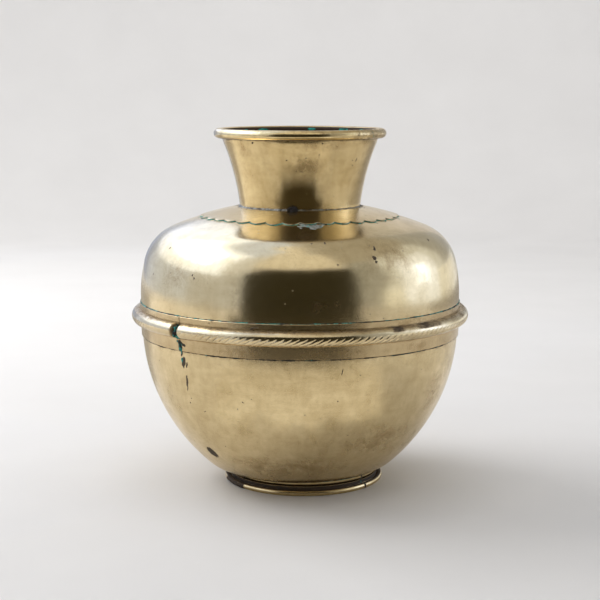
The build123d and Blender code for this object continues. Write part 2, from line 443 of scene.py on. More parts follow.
class Finish(Bench):
    """A material's tree, with the patterns that old metal needs."""

    def __init__(self, name):
        self.material = bpy.data.materials.new(name)
        self.material.use_nodes = True
        super().__init__(self.material.node_tree)
        self.tree.nodes.clear()
        self.place = self.node("ShaderNodeTexCoord").out("Object")

    def stretched(self, across, up, turn=(0.0, 0.0, 0.0)):
        """Places for a pattern drawn out to those lengths in metres, and turned."""
        inputs = {"Vector": self.place, "Scale": (1 / across, 1 / across, 1 / up), "Rotation": turn}
        return self.node("ShaderNodeMapping", {"vector_type": "POINT"}, inputs).out(0)

    def mottle(self, size, detail=4.0, rough=0.55, twist=0.0, at=None, seed=0.0):
        """Soft noise whose patches are about that size in mm, from 0 to 1."""
        scale = 1.0 if at else 1000.0 / size
        where = at or self.node(
            "ShaderNodeMapping", {}, {"Vector": self.place, "Location": (seed, 0.7 * seed, -seed)}
        ).out(0)
        inputs = {"Vector": where, "Scale": scale, "Detail": detail, "Roughness": rough, "Distortion": twist}
        return self.node("ShaderNodeTexNoise", {}, inputs).out(0)

    def pits(self, size, share, depth=0.16, seed=0.0):
        """Small round pits: cells of that size in mm, of which a share hold one."""
        where = self.node("ShaderNodeMapping", {}, {"Vector": self.place, "Location": (seed, seed, seed)}).out(0)
        cells = self.node("ShaderNodeTexVoronoi", {"feature": "F1"}, {"Vector": where, "Scale": 1000.0 / size})
        split = self.node("ShaderNodeSeparateColor", {}, {0: cells.out("Color")})
        chosen = self.edge(split.out(0), 1 - share - 0.02, 1 - share)
        round_hole = 1 - self.edge(cells.out("Distance"), depth * 0.5, depth)
        return chosen * round_hole

    def mark(self, kind):
        """What the mesh carries for a kind of mark."""
        return self.node("ShaderNodeAttribute", {"attribute_name": kind}).out("Fac")

    def blotches(self, face, places, ragged, clear=0.80, full_at=1.06):
        """Ragged patches on a face: (azimuth, height, half width, half height in mm, slant in degrees)."""
        wander = self.node("ShaderNodeTexNoise", {}, {"Vector": self.place, "Scale": 330.0, "Detail": 3.0})
        shift = self.node(
            "ShaderNodeVectorMath", {"operation": "MULTIPLY_ADD"},
            {0: wander.out(1), 1: (ragged * MM,) * 3, 2: (-0.5 * ragged * MM,) * 3},
        ).out(0)
        where = self.node("ShaderNodeVectorMath", {"operation": "ADD"}, {0: self.place, 1: shift}).out(0)
        rising = face[np.argsort(face[:, 1])]
        found = None
        for azimuth, height, half_wide, half_high, slant in places:
            x, y = on_plan(np.interp(height, rising[:, 1], rising[:, 0]), azimuth)
            local = self.node("ShaderNodeMapping", {"vector_type": "TEXTURE"}, {
                "Vector": where, "Location": (x * MM, y * MM, height * MM),
                "Rotation": (0.0, radians(slant), radians(azimuth)),
                "Scale": (half_wide * MM, 25.0 * MM, half_high * MM),
            }).out(0)
            far = self.node("ShaderNodeVectorMath", {"operation": "LENGTH"}, {0: local}).out(1)
            patch = 1 - self.edge(far, clear, full_at)
            found = patch if found is None else found.most(patch)
        return found

    def bump(self, height, distance, below=None):
        inputs = {"Height": height, "Distance": distance * MM, "Strength": 1.0}
        if below:
            inputs["Normal"] = below
        return self.node("ShaderNodeBump", {}, inputs).out(0)

    def cover(self, **inputs):
        """Closes the tree with one surface shader, its inputs named with _ for a space."""
        named = {key.replace("_", " "): value for key, value in inputs.items()}
        shader = self.node("ShaderNodeBsdfPrincipled", {}, named).out(0)
        self.node("ShaderNodeOutputMaterial", {}, {"Surface": shader})
        return self.material


def old_brass(name, bright, film, sheen, film_share, face=None, dirty=(), green_places=(), stained=()):
    """Hammered brass, handled and wiped for years: bright under a patchy film, with pits, scratches and dirt. Where
    the grime mark holds painted shade, the dirt and brown stain tones paint that shade as well.
    """
    f = Finish(name)
    patches = f.mottle(85.0, 5.0, 0.6, 0.8)
    clouds = f.mottle(15.0, 6.0, 0.65, 0.4, seed=0.31)
    crumbs = f.mottle(2.6, 4.0, 0.7, seed=0.57)
    grain = f.mottle(0.8, 2.0, 0.6, seed=0.12)
    wipes = f.mottle(1.0, 4.0, 0.6, at=f.stretched(0.035, 0.006, (0.1, 0.07, 0.0)))
    drips = f.mottle(1.0, 3.0, 0.5, at=f.stretched(0.0045, 0.07))
    fine_a = f.mottle(1.0, 2.0, 0.5, at=f.stretched(0.05, 0.00045, (0.25, 0.1, 0.0)))
    fine_b = f.mottle(1.0, 2.0, 0.5, at=f.stretched(0.04, 0.0005, (-0.35, 0.5, 0.2)))
    scratches = (f.edge(fine_a, 0.66, 0.80) + f.edge(fine_b, 0.68, 0.82)).capped() * 0.35
    pits = f.pits(6.0, 0.11, 0.12).most(f.pits(23.0, 0.12, 0.065, seed=0.4))
    specks = f.pits(2.1, 0.20, 0.17, seed=0.9)
    grime, green, bare, inside = (f.mark(kind) for kind in MARK_KINDS)

    thin_film = patches * 1.3 + clouds * 1.1 + wipes * 0.5 + drips * 0.45 - 1.42 + film_share * 0.45 - bare * 0.5
    thin_film = thin_film.capped()
    # The brown stain tone also follows the grime mark, so it takes in painted shade as well as stains.
    tea = f.edge(clouds * 0.6 + crumbs * 0.3 + grime * 0.75, 0.56, 0.86) * 0.62
    if stained:
        torn = f.edge(clouds * 0.7 + crumbs * 0.3, 0.36, 0.66) * 0.7
        tea = tea.most(f.blotches(face, stained, 14.0, 0.0, 1.5) * torn)
    # This dark mask follows the grime mark, so it paints shade as well as dirt wherever that mark holds painted
    # shade.
    dirt = f.edge(grime + crumbs * 0.55 + clouds * 0.25 - 0.42, 0.30, 0.62).most(pits * 0.85)
    if dirty:
        dirt = dirt.most(f.blotches(face, dirty, 3.2))
    dirt = dirt.most(inside * f.edge(clouds * 0.6 + patches * 0.4, 0.34, 0.52) * 0.8)
    salts = f.edge(green + crumbs * 0.7 + clouds * 0.3 - 0.52, 0.38, 0.55)
    if green_places:
        salts = salts.most(f.blotches(face, green_places, 3.2))

    colour = f.blend(thin_film, (*bright, 1.0), (*film, 1.0))
    colour = f.blend(tea, colour, (0.33, 0.215, 0.095, 1.0))
    colour = f.blend(specks * 0.5, colour, (0.20, 0.13, 0.06, 1.0))
    freckles = f.edge(f.mottle(1.2, 3.0, 0.75, seed=0.71) * 0.75 + clouds * 0.25, 0.53, 0.64)
    colour = f.blend(freckles * 0.20, colour, (0.27, 0.18, 0.08, 1.0))
    colour = f.blend(inside * 0.8, colour, (0.105, 0.075, 0.042, 1.0))
    dark = f.blend(clouds, (0.014, 0.010, 0.007, 1.0), (0.062, 0.040, 0.026, 1.0))
    colour = f.blend(dirt * 0.94, colour, dark)
    teal = f.blend(f.edge(crumbs, 0.4, 0.65), (0.008, 0.13, 0.11, 1.0), (0.05, 0.40, 0.34, 1.0))
    colour = f.blend(salts, colour, teal)

    dull = dirt.most(salts)
    metal = 1 - dull * 0.9
    rough = sheen + thin_film * 0.09 + clouds * 0.05 + grain * 0.04 + scratches * 0.08 + inside * 0.2 - 0.04
    rough = (rough + tea * 0.12 + dull * 0.45).capped()
    relief = crumbs * 0.42 + clouds * 0.7 - scratches * 0.25 - pits * 1.6 + dull * crumbs * 1.4 + grain * 0.15
    normal = f.bump(relief, 0.10)
    return f.cover(Base_Color=colour, Metallic=metal, Roughness=rough, Normal=normal, Specular_IOR_Level=0.2)


def soft_solder(name, dark_share=0.5, green_share=0.0):
    """Grey soft solder, oxidised dark, with bright rubbed grains and a little green."""
    f = Finish(name)
    clouds = f.mottle(5.0, 5.0, 0.6)
    crumbs = f.mottle(1.3, 4.0, 0.7, seed=0.3)
    bright = f.edge(crumbs, 0.52, 0.60)
    shade = f.edge(clouds + 0.5 - dark_share, 0.35, 0.65)
    colour = f.blend(shade, (0.035, 0.030, 0.026, 1.0), (0.30, 0.30, 0.25, 1.0))
    colour = f.blend(bright * shade, colour, (0.72, 0.70, 0.62, 1.0))
    greened = f.edge(f.mottle(3.0, 4.0, 0.6, seed=0.8) + green_share, 0.72, 0.84)
    greened = greened.most(f.edge(f.mark("green") + crumbs * 0.5, 0.55, 0.8))
    colour = f.blend(greened, colour, (0.04, 0.30, 0.25, 1.0))
    rough = 0.42 + clouds * 0.3 + greened * 0.2
    metal = 0.85 - greened * 0.85
    return f.cover(Base_Color=colour, Metallic=metal, Roughness=rough, Normal=f.bump(crumbs + clouds, 0.35))


def green_crust(name, dark_share=0.45):
    """Corrosion crust: near-black dirt with teal copper salts breaking through."""
    f = Finish(name)
    clouds = f.mottle(4.5, 4.0, 0.6)
    crumbs = f.mottle(1.0, 3.0, 0.7, seed=0.2)
    teal_share = f.edge(clouds * 0.7 + crumbs * 0.3 + f.mark("green") * 0.4, dark_share, dark_share + 0.12)
    teal = f.blend(crumbs, (0.006, 0.13, 0.11, 1.0), (0.06, 0.50, 0.42, 1.0))
    colour = f.blend(teal_share, (0.022, 0.017, 0.013, 1.0), teal)
    return f.cover(
        Base_Color=colour, Metallic=0.0, Roughness=0.62 + crumbs * 0.2, Specular_IOR_Level=0.25,
        Normal=f.bump(crumbs + clouds * 0.6, 0.4),
    )


def rusted_iron(name):
    """Iron wire, dark with patches of brown rust."""
    f = Finish(name)
    clouds = f.mottle(3.5, 5.0, 0.65)
    colour = f.blend(f.edge(clouds, 0.4, 0.62), (0.030, 0.022, 0.018, 1.0), (0.13, 0.075, 0.045, 1.0))
    return f.cover(Base_Color=colour, Metallic=0.35, Roughness=0.6 + clouds * 0.25, Normal=f.bump(clouds, 0.5))


def plain_cloth(name):
    """A matt pale floor with the faintest unevenness."""
    f = Finish(name)
    tone = f.mottle(160.0, 3.0, 0.5)
    weave = f.mottle(1.4, 2.0, 0.6)
    colour = f.blend(tone, (0.70, 0.69, 0.68, 1.0), (0.76, 0.75, 0.74, 1.0))
    return f.cover(Base_Color=colour, Roughness=0.9, Normal=f.bump(weave, 0.12))


bowl_dirt = [
    (-44.4, 139.5, 1.5, 3.6, 12.0), (-44.0, 131.0, 2.7, 5.6, 14.0), (-42.5, 128.8, 1.0, 3.0, 20.0),
    (-43.6, 112.0, 1.25, 8.0, 9.0), (-44.6, 93.4, 0.8, 0.9, 0.0), (-46.5, 42.0, 6.2, 5.6, 42.0),
    (14.2, 130.1, 0.35, 3.2, 12.0), (13.4, 102.8, 0.7, 0.7, 0.0), (-38.0, 87.0, 0.8, 0.7, 0.0),
    (20.5, 126.0, 0.6, 0.5, 0.0), (1.8, 91.0, 0.5, 0.5, 0.0), (-20.4, 101.0, 1.5, 0.35, 30.0),
]
bowl_green = [(-44.6, 133.0, 1.0, 2.6, 14.0), (-44.6, 139.8, 1.0, 1.8, 12.0)]
bowl_stains = [
    (34.0, 60.0, 36.0, 14.0, 0.0), (-8.0, 34.0, 60.0, 12.0, 0.0), (60.0, 100.0, 18.0, 26.0, 0.0),
]
shoulder_dirt = [
    (28.8, 233.1, 1.3, 2.2, 20.0), (27.2, 225.4, 2.2, 1.8, 0.0), (27.5, 222.3, 1.3, 1.0, 0.0),
    (-57.4, 228.5, 0.8, 0.8, 0.0), (-63.4, 204.0, 0.8, 1.2, 0.0), (-39.6, 209.0, 0.8, 1.1, 0.0),
    (-38.6, 206.4, 0.9, 1.1, 0.0), (4.4, 237.8, 0.7, 0.7, 0.0), (9.6, 238.4, 0.8, 0.8, 0.0),
    (61.5, 234.4, 1.2, 0.8, 0.0), (13.0, 221.0, 0.6, 0.6, 0.0),
]
shoulder_stains = [(-48.0, 207.0, 16.0, 10.0, 0.0), (34.0, 224.0, 26.0, 18.0, 0.0), (6.0, 188.0, 40.0, 9.0, 0.0)]
neck_dirt = [
    (-36.3, 320.8, 0.9, 1.0, 0.0), (16.0, 320.4, 0.7, 0.6, 0.0), (14.6, 310.6, 0.5, 0.6, 0.0),
    (14.6, 308.4, 0.45, 0.5, 0.0), (-10.5, 306.0, 0.5, 0.4, 0.0), (1.8, 295.4, 1.5, 0.4, 20.0),
    (-15.3, 322.4, 5.0, 0.4, 0.0), (50.0, 305.0, 0.4, 2.2, 10.0), (-3.0, 296.0, 0.5, 0.4, 0.0),
]
neck_stains = [(16.0, 320.0, 30.0, 5.0, 0.0), (-44.0, 316.0, 12.0, 7.0, 0.0), (6.0, 300.0, 16.0, 7.0, 0.0)]
band_dirt = [
    (7.8, 164.6, 7.0, 2.2, 0.0), (-15.2, 168.0, 4.0, 0.8, -14.0), (-44.6, 148.5, 3.6, 2.6, 24.0),
    (-44.3, 143.5, 2.6, 3.2, 10.0), (-43.1, 147.2, 3.4, 1.5, 12.0),
]
band_green = [(-44.2, 142.8, 1.4, 1.7, 0.0), (-46.0, 149.4, 1.0, 1.2, 0.0), (-44.9, 146.0, 0.7, 1.0, 0.0)]
band_stains = [(5.9, 146.6, 13.0, 3.5, 0.0), (16.0, 147.5, 12.0, 3.5, 0.0), (-18.0, 147.0, 30.0, 3.5, 0.0),
               (44.0, 168.6, 22.0, 2.5, 0.0), (68.0, 167.6, 18.0, 2.5, 0.0), (44.0, 146.0, 20.0, 4.0, 0.0)]

SHOULDER_BRIGHT, SHOULDER_FILM = (0.82, 0.665, 0.40), (0.63, 0.485, 0.255)
waist_rows = np.array([(*waist_point(along, band_sheet), 1.0, 0.0) for along in (-20.0, 20.0)])
bowl_brass = old_brass(
    "bowl_old_brass", (0.84, 0.68, 0.40), (0.55, 0.415, 0.205), 0.19, 0.62,
    bowl_face(2.0)[:-30], bowl_dirt, bowl_green, bowl_stains,
)
shoulder_brass = old_brass(
    "shoulder_old_brass", SHOULDER_BRIGHT, SHOULDER_FILM, 0.145, 0.55, SHOULDER, shoulder_dirt, (), shoulder_stains
)
flange_brass = old_brass("flange_old_brass", SHOULDER_BRIGHT, SHOULDER_FILM, 0.15, 0.55)
neck_brass = old_brass(
    "neck_old_brass", (0.82, 0.64, 0.34), (0.54, 0.385, 0.165), 0.16, 0.6,
    neck_face()[:40], neck_dirt, (), neck_stains,
)
band_brass = old_brass(
    "band_old_brass", (0.74, 0.58, 0.34), (0.46, 0.335, 0.165), 0.18, 0.85,
    waist_rows, band_dirt, band_green, band_stains,
)
moulding_brass = old_brass("moulding_old_brass", (0.78, 0.64, 0.40), (0.50, 0.375, 0.19), 0.15, 0.5)
foot_brass = old_brass("foot_old_brass", (0.80, 0.63, 0.34), (0.50, 0.37, 0.18), 0.15, 0.5)
dull_solder = soft_solder("dull_soft_solder", 0.55)
patch_solder = soft_solder("smeared_soft_solder", 0.42, 0.16)
crust = green_crust("green_and_black_crust")
seam_crust = green_crust("green_seam_line", 0.47)
dark_seam_crust = green_crust("dark_seam_line", 0.56)
black_crust = green_crust("black_crust", 0.70)
iron = rusted_iron("rusted_iron_wire")


# ---------------------------------------------------------------- the body

def arc_lengths(rows):
    """How far along its path each row lies."""
    steps = np.hypot(*np.diff(rows[:, :2], axis=0).T)
    return np.concatenate([[0.0], np.cumsum(steps)])


def shell(name, face, turns, marks, material):
    """A hammered shell from its outer face. marks is told how many rows the face has."""
    loop = sheet_loop(face, body_sheet, 0.0)
    along = arc_lengths(face)
    away = np.concatenate([along, along[::-1]]) - band_half

    def push(x, y, z, index):
        return body_push(x, y, z, away[index])

    return ring(name, lambda azimuth: loop, turns, material, push, marks(len(face)))


def bowl_marks(face_count):
    def marks(azimuth, r, z, index):
        outside = index < face_count
        if not outside:
            return {"inside": 1.0, "grime": 0.30}
        foot_line = 1 - smooth_step(0.4, 3.5, abs(r - foot_radius + 1))
        # The bowl is made darker towards its bottom.
        low = 0.16 * (1 - smooth_step(14.0, 60.0, z))
        under_band = 0.30 * (1 - smooth_step(0.5, 7.0, band_low_edge - z))
        return {
            "grime": max(0.45 * foot_line, low, under_band),
            "green": 0.12 * foot_line,
        }
    return marks


def shoulder_marks(face_count):
    def marks(azimuth, r, z, index):
        if index >= face_count:
            return {"inside": 1.0, "grime": 0.30}
        over_band = 0.22 * (1 - smooth_step(0.5, 6.0, z - band_high_edge))
        at_flange = 0.25 * (1 - smooth_step(0.5, 5.0, r - flange_edge))
        return {"grime": max(over_band, at_flange if z > 200 else 0.0)}
    return marks


bowl = shell("hammered_bowl", bowl_face(2.2), 400, bowl_marks, bowl_brass)
shoulder = shell(
    "hammered_shoulder", shoulder_face(neck_radius + hole_clearance, 1.9), 420, shoulder_marks, shoulder_brass
)

# ---------------------------------------------------------------- waist: band, moulding and seams

def leaned(rows):
    """Rows drawn along and off the straight waist, brought into the section's frame."""
    slope = radians(waist_taper)
    out = []
    for along, outside, n_along, n_out in rows:
        r, z = waist_point(along, outside)
        out.append((r, z, n_out * cos(slope) + n_along * sin(slope), n_along * cos(slope) - n_out * sin(slope)))
    return np.array(out)


def waist_loop(corners, step):
    return leaned(corner_loop(corners, step))


def band_marks(azimuth, r, z, index):
    edge_line = 1 - smooth_step(0.3, 1.6, min(band_high_edge - z, z - band_low_edge))
    near_moulding = 1 - smooth_step(0.2, 2.4, abs(abs(z - moulding_middle) - moulding_radius))
    return {
        "grime": max(0.42 * near_moulding, 0.30 * edge_line),
        "green": 0.20 * edge_line,
    }


def band_push(x, y, z, index):
    return 0.03 * ripple(x, y, z, 20.0, 4.4)


band_loop = waist_loop([(-band_half, 0.0), (band_half, 0.0), (band_half, band_sheet), (-band_half, band_sheet)], 0.9)
gap_turn = degrees(band_joint_gap / band_radius)
band = ring(
    "waist_band_strip", lambda azimuth: band_loop, 420, band_brass, band_push, band_marks,
    span=(joint_azimuth + gap_turn / 2, joint_azimuth + FULL_TURN - gap_turn / 2),
)


def seam_bead(name, end, size, material):
    """The fillet of solder between an edge of the band and the body, thicker in places."""
    edge = end * band_half

    def loop_at(azimuth):
        fat = size * (0.75 + 0.5 * ripple(azimuth, 0.0, 0.0, 3.0, end) + 0.35 * ripple(azimuth, 0.0, 0.0, 0.9, 8.0))
        fat = max(0.25, fat)
        section = [(-0.4, -0.3), (-0.4, 0.8 * fat), (-0.1, fat), (0.42 * fat, 0.56 * fat), (fat, 0.05), (fat, -0.3)]
        slope = radians(waist_taper)
        return np.array([
            (*waist_point(edge + end * along, outside), cos(slope), -sin(slope)) for along, outside in section
        ])

    return ring(name, loop_at, 900, material, None, lambda azimuth, r, z, index: {"grime": 0.6})


upper_seam = seam_bead("upper_seam_solder", 1.0, 0.95, seam_crust)
lower_seam = seam_bead("lower_seam_solder", -1.0, 1.25, dark_seam_crust)

hidden_bead = ring(
    "inside_seam_solder",
    lambda azimuth: waist_loop([(-2.5, -1.0), (2.5, -1.0), (2.2, -1.95), (-2.2, -1.95)], 0.8),
    240, dull_solder, lambda x, y, z, index: 0.15 * ripple(x, y, z, 4.0, 2.0),
)


# ---------------------------------------------------------------- rope moulding

def moulding_loop():
    """The half-round's section, its rows in order from the lower edge, round the outside, to the upper edge."""
    low = (moulding_rise - moulding_radius, band_sheet - 0.15)
    rows = []
    flank = moulding_flank + 0.15
    centre = low[1] + flank
    for k in range(4):
        rows.append((low[0], low[1] + flank * k / 4, -1.0, 0.0))
    for k in range(37):
        turn = radians(-90.0 + 180.0 * k / 36)
        rows.append((
            moulding_rise + moulding_radius * sin(turn), centre + moulding_radius * cos(turn), sin(turn), cos(turn)
        ))
    for k in range(3, -1, -1):
        rows.append((moulding_rise + moulding_radius, low[1] + flank * k / 4, 1.0, 0.0))
    return leaned(rows)


def moulding_height(index):
    """0 at the moulding's lower edge, 1 at its upper edge, by the turn round its half circle."""
    return min(1.0, max(0.0, (index - 4) / 36))


class Shape(Bench):
    """A Geometry Nodes tree with named inputs for its sizes."""

    def __init__(self, name, sizes):
        self.group = bpy.data.node_groups.new(name, "GeometryNodeTree")
        self.sizes = sizes
        face = self.group.interface
        face.new_socket("Geometry", in_out="INPUT", socket_type="NodeSocketGeometry")
        self.keys = {}
        for label, value in sizes.items():
            kind = "NodeSocketInt" if isinstance(value, int) else "NodeSocketFloat"
            self.keys[label] = face.new_socket(label, in_out="INPUT", socket_type=kind).identifier
        face.new_socket("Geometry", in_out="OUTPUT", socket_type="NodeSocketGeometry")
        super().__init__(self.group)
        self.given = self.group.nodes.new("NodeGroupInput")

    def start(self):
        return Value(self, self.given.outputs[0])

    def size(self, label):
        return Value(self, self.given.outputs[label])

    def carried(self, kind):
        """What the base mesh carries under a name."""
        return self.node("GeometryNodeInputNamedAttribute", {"data_type": "FLOAT"}, {"Name": kind}).out("Attribute")

    def close(self, geometry, material):
        real = self.node("GeometryNodeRealizeInstances", {}, {0: geometry}).out(0)
        dressed = self.node("GeometryNodeSetMaterial", {}, {"Geometry": real, "Material": material}).out(0)
        last = self.group.nodes.new("NodeGroupOutput")
        self.group.links.new(dressed.socket, last.inputs[0])

    def make(self, name, base, values=None, sharp=38.0):
        """Runs the tree on a base object and gives back one plain mesh object, the base being used up."""
        modifier = base.modifiers.new("shape", "NODES")
        modifier.node_group = self.group
        for label, value in {**self.sizes, **(values or {})}.items():
            modifier[self.keys[label]] = value
        graph = bpy.context.evaluated_depsgraph_get()
        mesh = bpy.data.meshes.new_from_object(base.evaluated_get(graph))
        mesh.name = name
        base.modifiers.clear()
        old = base.data
        bpy.data.objects.remove(base)
        bpy.data.meshes.remove(old)
        mesh.polygons.foreach_set("use_smooth", [True] * len(mesh.polygons))
        mesh.set_sharp_from_angle(angle=radians(sharp))
        return linked(name, mesh)


def strand_tree(material):
    """Cuts slanting grooves into a half-round: between strands the surface sinks to a V, each strand swelling. The
    grooves also get painted shade, stored in the grime mark.
    """
    s = Shape("Rope strands", {"Depth": 0.0008, "Strands": float(strand_count), "Lean": 1.6, "Gap width": 0.24})
    turn, level, fade, waver = (s.carried(kind) for kind in ("turn", "level", "fade", "waver"))
    phase = (turn * s.size("Strands") - level * s.size("Lean") + waver * 0.10).fraction()
    from_middle = abs(phase - 0.5) * 2.0
    swell = from_middle ** 2.2 * 0.45
    gap = s.edge(from_middle, 1 - s.size("Gap width"), 1.0) * 0.75
    deep = (swell + gap) * fade * s.size("Depth") * -1.0
    normal = s.node("GeometryNodeInputNormal").out(0)
    offset = s.node("ShaderNodeVectorMath", {"operation": "SCALE"}, {0: normal, "Scale": deep}).out(0)
    moved = s.node("GeometryNodeSetPosition", {}, {"Geometry": s.start(), "Offset": offset}).out(0)
    # Painted shade in the grooves between the strands, stored in the grime mark.
    dark = s.edge(from_middle, 1 - s.size("Gap width") * 0.8, 1.0) * fade
    inputs = {"Geometry": moved, "Name": "grime", "Value": s.carried("grime").most(dark * 0.75)}
    marked = s.node("GeometryNodeStoreNamedAttribute", {"data_type": "FLOAT", "domain": "POINT"}, inputs).out(0)
    s.close(marked, material)
    return s


moulding_half_gap = degrees(moulding_gap / 2 / moulding_crest_radius)
rope_span = (joint_azimuth + moulding_half_gap, joint_azimuth + FULL_TURN - moulding_half_gap)
rope_turns = 1650


def moulding_blank():
    """The plain half-round with rounded ends, and what the strand tree reads at each point."""
    loop = moulding_loop()
    core = np.array([*waist_point(moulding_rise, band_sheet + 1.5)])
    points, marks = [], {kind: [] for kind in MARK_KINDS + ("turn", "level", "fade", "waver")}
    for k in range(rope_turns + 1):
        azimuth = rope_span[0] + (rope_span[1] - rope_span[0]) * k / rope_turns
        arc = radians(min(azimuth - rope_span[0], rope_span[1] - azimuth)) * moulding_crest_radius
        squeeze = 1.0 if arc >= 3.0 else 0.52 + 0.48 * sqrt(1 - (1 - arc / 3.0) ** 2)
        for index, (r, z, out_r, out_z) in enumerate(loop):
            level = moulding_height(index)
            ax, ay = on_plan(1.0, azimuth)
            flat = 0.10 * ripple(r * ax, r * ay, z, 11.0, 6.6) - 0.10
            r2 = core[0] + (r - core[0]) * squeeze + out_r * flat
            z2 = core[1] + (z - core[1]) * squeeze + out_z * flat
            points.append((r2 * ax, r2 * ay, z2))
            strand_zone = smooth_step(0.21, 0.33, level) * (1 - smooth_step(0.47, 0.62, level))
            uneven = 0.80 + 0.5 * ripple(r * ax, r * ay, z, 26.0, 2.2)
            uneven *= 1 - 0.6 * smooth_step(150.0, 175.0, azimuth)
            marks["turn"].append(azimuth / FULL_TURN + 1.0)
            marks["level"].append(level * 2.2)
            marks["fade"].append(strand_zone * uneven * smooth_step(0.0, 4.0, arc))
            marks["waver"].append(ripple(azimuth, 0.0, 0.0, 9.0, 1.0) * 2.0)
            gap_dirt = 0.5 * (1 - smooth_step(0.0, 5.0, arc))
            # Painted shade along the moulding's lower edge, and dirt along its upper edge against the band.
            edge_shade_and_dirt = 0.42 * (1 - smooth_step(0.0, 0.10, level)) + 0.44 * smooth_step(0.62, 0.88, level)
            dusty = smooth_step(18.0, 34.0, azimuth) * (1 - smooth_step(72.0, 90.0, azimuth))
            dusty *= smooth_step(0.58, 0.72, level) * (0.40 + 0.35 * ripple(azimuth, level, 0.0, 6.0, 3.0))
            marks["grime"].append(max(gap_dirt, edge_shade_and_dirt, dusty))
            marks["green"].append(0.25 * gap_dirt)
            marks["bare"].append(0.2 * smooth_step(0.3, 0.5, level) * (1 - smooth_step(0.6, 0.9, level)))
            marks["inside"].append(0.0)
    return mesh_object("moulding_blank", points, swept_faces(rope_turns, len(loop), False), None, marks, 50.0)


moulding = strand_tree(moulding_brass).make("rope_moulding_strands", moulding_blank(), sharp=50.0)


# ---------------------------------------------------------------- solder in the joint

def blob(name, centre, radii, material, detail, rough, seed):
    """A lumpy drop about a centre in mm. radii are along, across and up, with across pointing to the axis."""
    made = bpy.data.meshes.new(name)
    tidy = bmesh.new()
    bmesh.ops.create_icosphere(tidy, subdivisions=detail, radius=1.0)
    azimuth = radians(azimuth_of(centre[0], centre[1]))
    along = Vector((cos(azimuth), sin(azimuth), 0.0))
    outwards = Vector((sin(azimuth), -cos(azimuth), 0.0))
    for v in tidy.verts:
        swell = 1 + rough * noise.noise(v.co * 1.7 + Vector((seed, seed, 0))) + 0.4 * rough * noise.noise(v.co * 5)
        p = v.co * swell
        place = Vector(centre) + along * p.x * radii[0] + outwards * p.y * radii[1] + Vector((0, 0, p.z * radii[2]))
        v.co = place * MM
    bmesh.ops.recalc_face_normals(tidy, faces=tidy.faces)
    tidy.to_mesh(made)
    tidy.free()
    made.polygons.foreach_set("use_smooth", [True] * len(made.polygons))
    made.materials.append(material)
    return linked(name, made)


def on_waist(azimuth, along, outside):
    r, z = waist_point(along, outside)
    return (*on_plan(r, azimuth), z)


joint_fill = blob(
    "joint_solder_fill", on_waist(joint_azimuth, moulding_rise - 1.0, band_sheet + 2.2), (3.7, 4.0, 5.2), crust, 5,
    0.55, 4.0
)
joint_drip = blob(
    "joint_solder_drip", on_waist(joint_azimuth - 0.1, -10.5, band_sheet - 0.2), (1.9, 0.75, 4.6), crust, 4, 0.6, 9.0
)


# ---------------------------------------------------------------- neck, lip and flange

neck_rows = neck_face(1.3)
neck_profile = sheet_loop(neck_rows, neck_sheet, 0.3)
rim_height = neck_profile[:, 1].max()
roll_depth = 8.9


def lip_wear(azimuth):
    """How badly the rim is eaten at an azimuth."""
    return smooth_step(28.0, 42.0, azimuth) * (1 - smooth_step(76.0, 92.0, azimuth))


def neck_collar_push(x, y, z, index):
    high = smooth_step(rim_height - 22.0, rim_height - 6.0, z)
    azimuth = azimuth_of(x, y)
    eaten = lip_wear(azimuth) * smooth_step(rim_height - 9.5, rim_height - 7.0, z)
    sag = 0.35 * ripple(x, y, 0.0, 40.0, 6.0) * high
    return neck_push(x, y, z) * (1 - 0.6 * high) + 0.4 * sag - eaten * (
        0.25 * ripple(x, y, z, 3.0, 3.3) + 0.2 * ripple(x, y, z, 1.3, 5.3)
    )


neck_count = len(neck_rows)
wall_count = neck_count - len(trace((0.0, 0.0), 0.0, [bend(lip_wire_radius, -lip_roll_sweep)], 0.6)) + 1


def is_inner_wall(index):
    """Whether a row of the neck's section lies on its inner wall, below the rim's turn."""
    return index > neck_count + 1 and 2 * neck_count + 1 - index < wall_count + 4


green_mouth = [
    (-66.0, 322.0, 6.0, 2.4), (-48.0, 319.0, 3.0, 1.6), (63.0, 322.5, 6.0, 2.4), (78.0, 320.0, 4.0, 2.0),
    (150.0, 318.0, 5.0, 2.0), (-170.0, 321.0, 4.0, 2.0), (-150.0, 328.8, 7.0, 1.8), (171.0, 329.2, 5.0, 1.8),
    (144.0, 329.0, 7.0, 1.8), (124.0, 328.6, 6.0, 2.0), (-134.0, 328.6, 5.0, 1.6),
]


def neck_marks(azimuth, r, z, index):
    inner_wall = is_inner_wall(index)
    roll = z > rim_height - roll_depth and r > 66.0 and not inner_wall
    eaten = lip_wear(azimuth) * smooth_step(rim_height - 9.5, rim_height - 7.5, z)
    # A dark line of painted shadow along the underside of the lip's roll.
    shadow_under_roll = 0.75 * (1 - smooth_step(0.0, 1.3, abs(z - (rim_height - roll_depth)))) if r > 70 else 0.0
    base_line = 0.35 * (1 - smooth_step(260.0, 264.5, z))
    rim_inside = 0.8 * smooth_step(rim_height - 30, rim_height - 9, z) if inner_wall else 0.0
    return {
        # Besides the painted shadow under the roll, the neck is made a little darker over the last ten mm below the
        # roll.
        "grime": max(0.40 * eaten, shadow_under_roll, base_line, rim_inside, 0.22 * smooth_step(312.0, 322.0, z)),
        "green": max(0.35 * eaten, spots(azimuth, z, 66.0, green_mouth) * 0.62 if inner_wall else 0.0),
        "bare": 0.6 if roll and azimuth < 20 else 0.0,
        "inside": 0.8 if inner_wall else 0.0,
    }


neck = ring("neck_collar_rolled", lambda azimuth: neck_profile, 420, neck_brass, neck_collar_push, neck_marks)


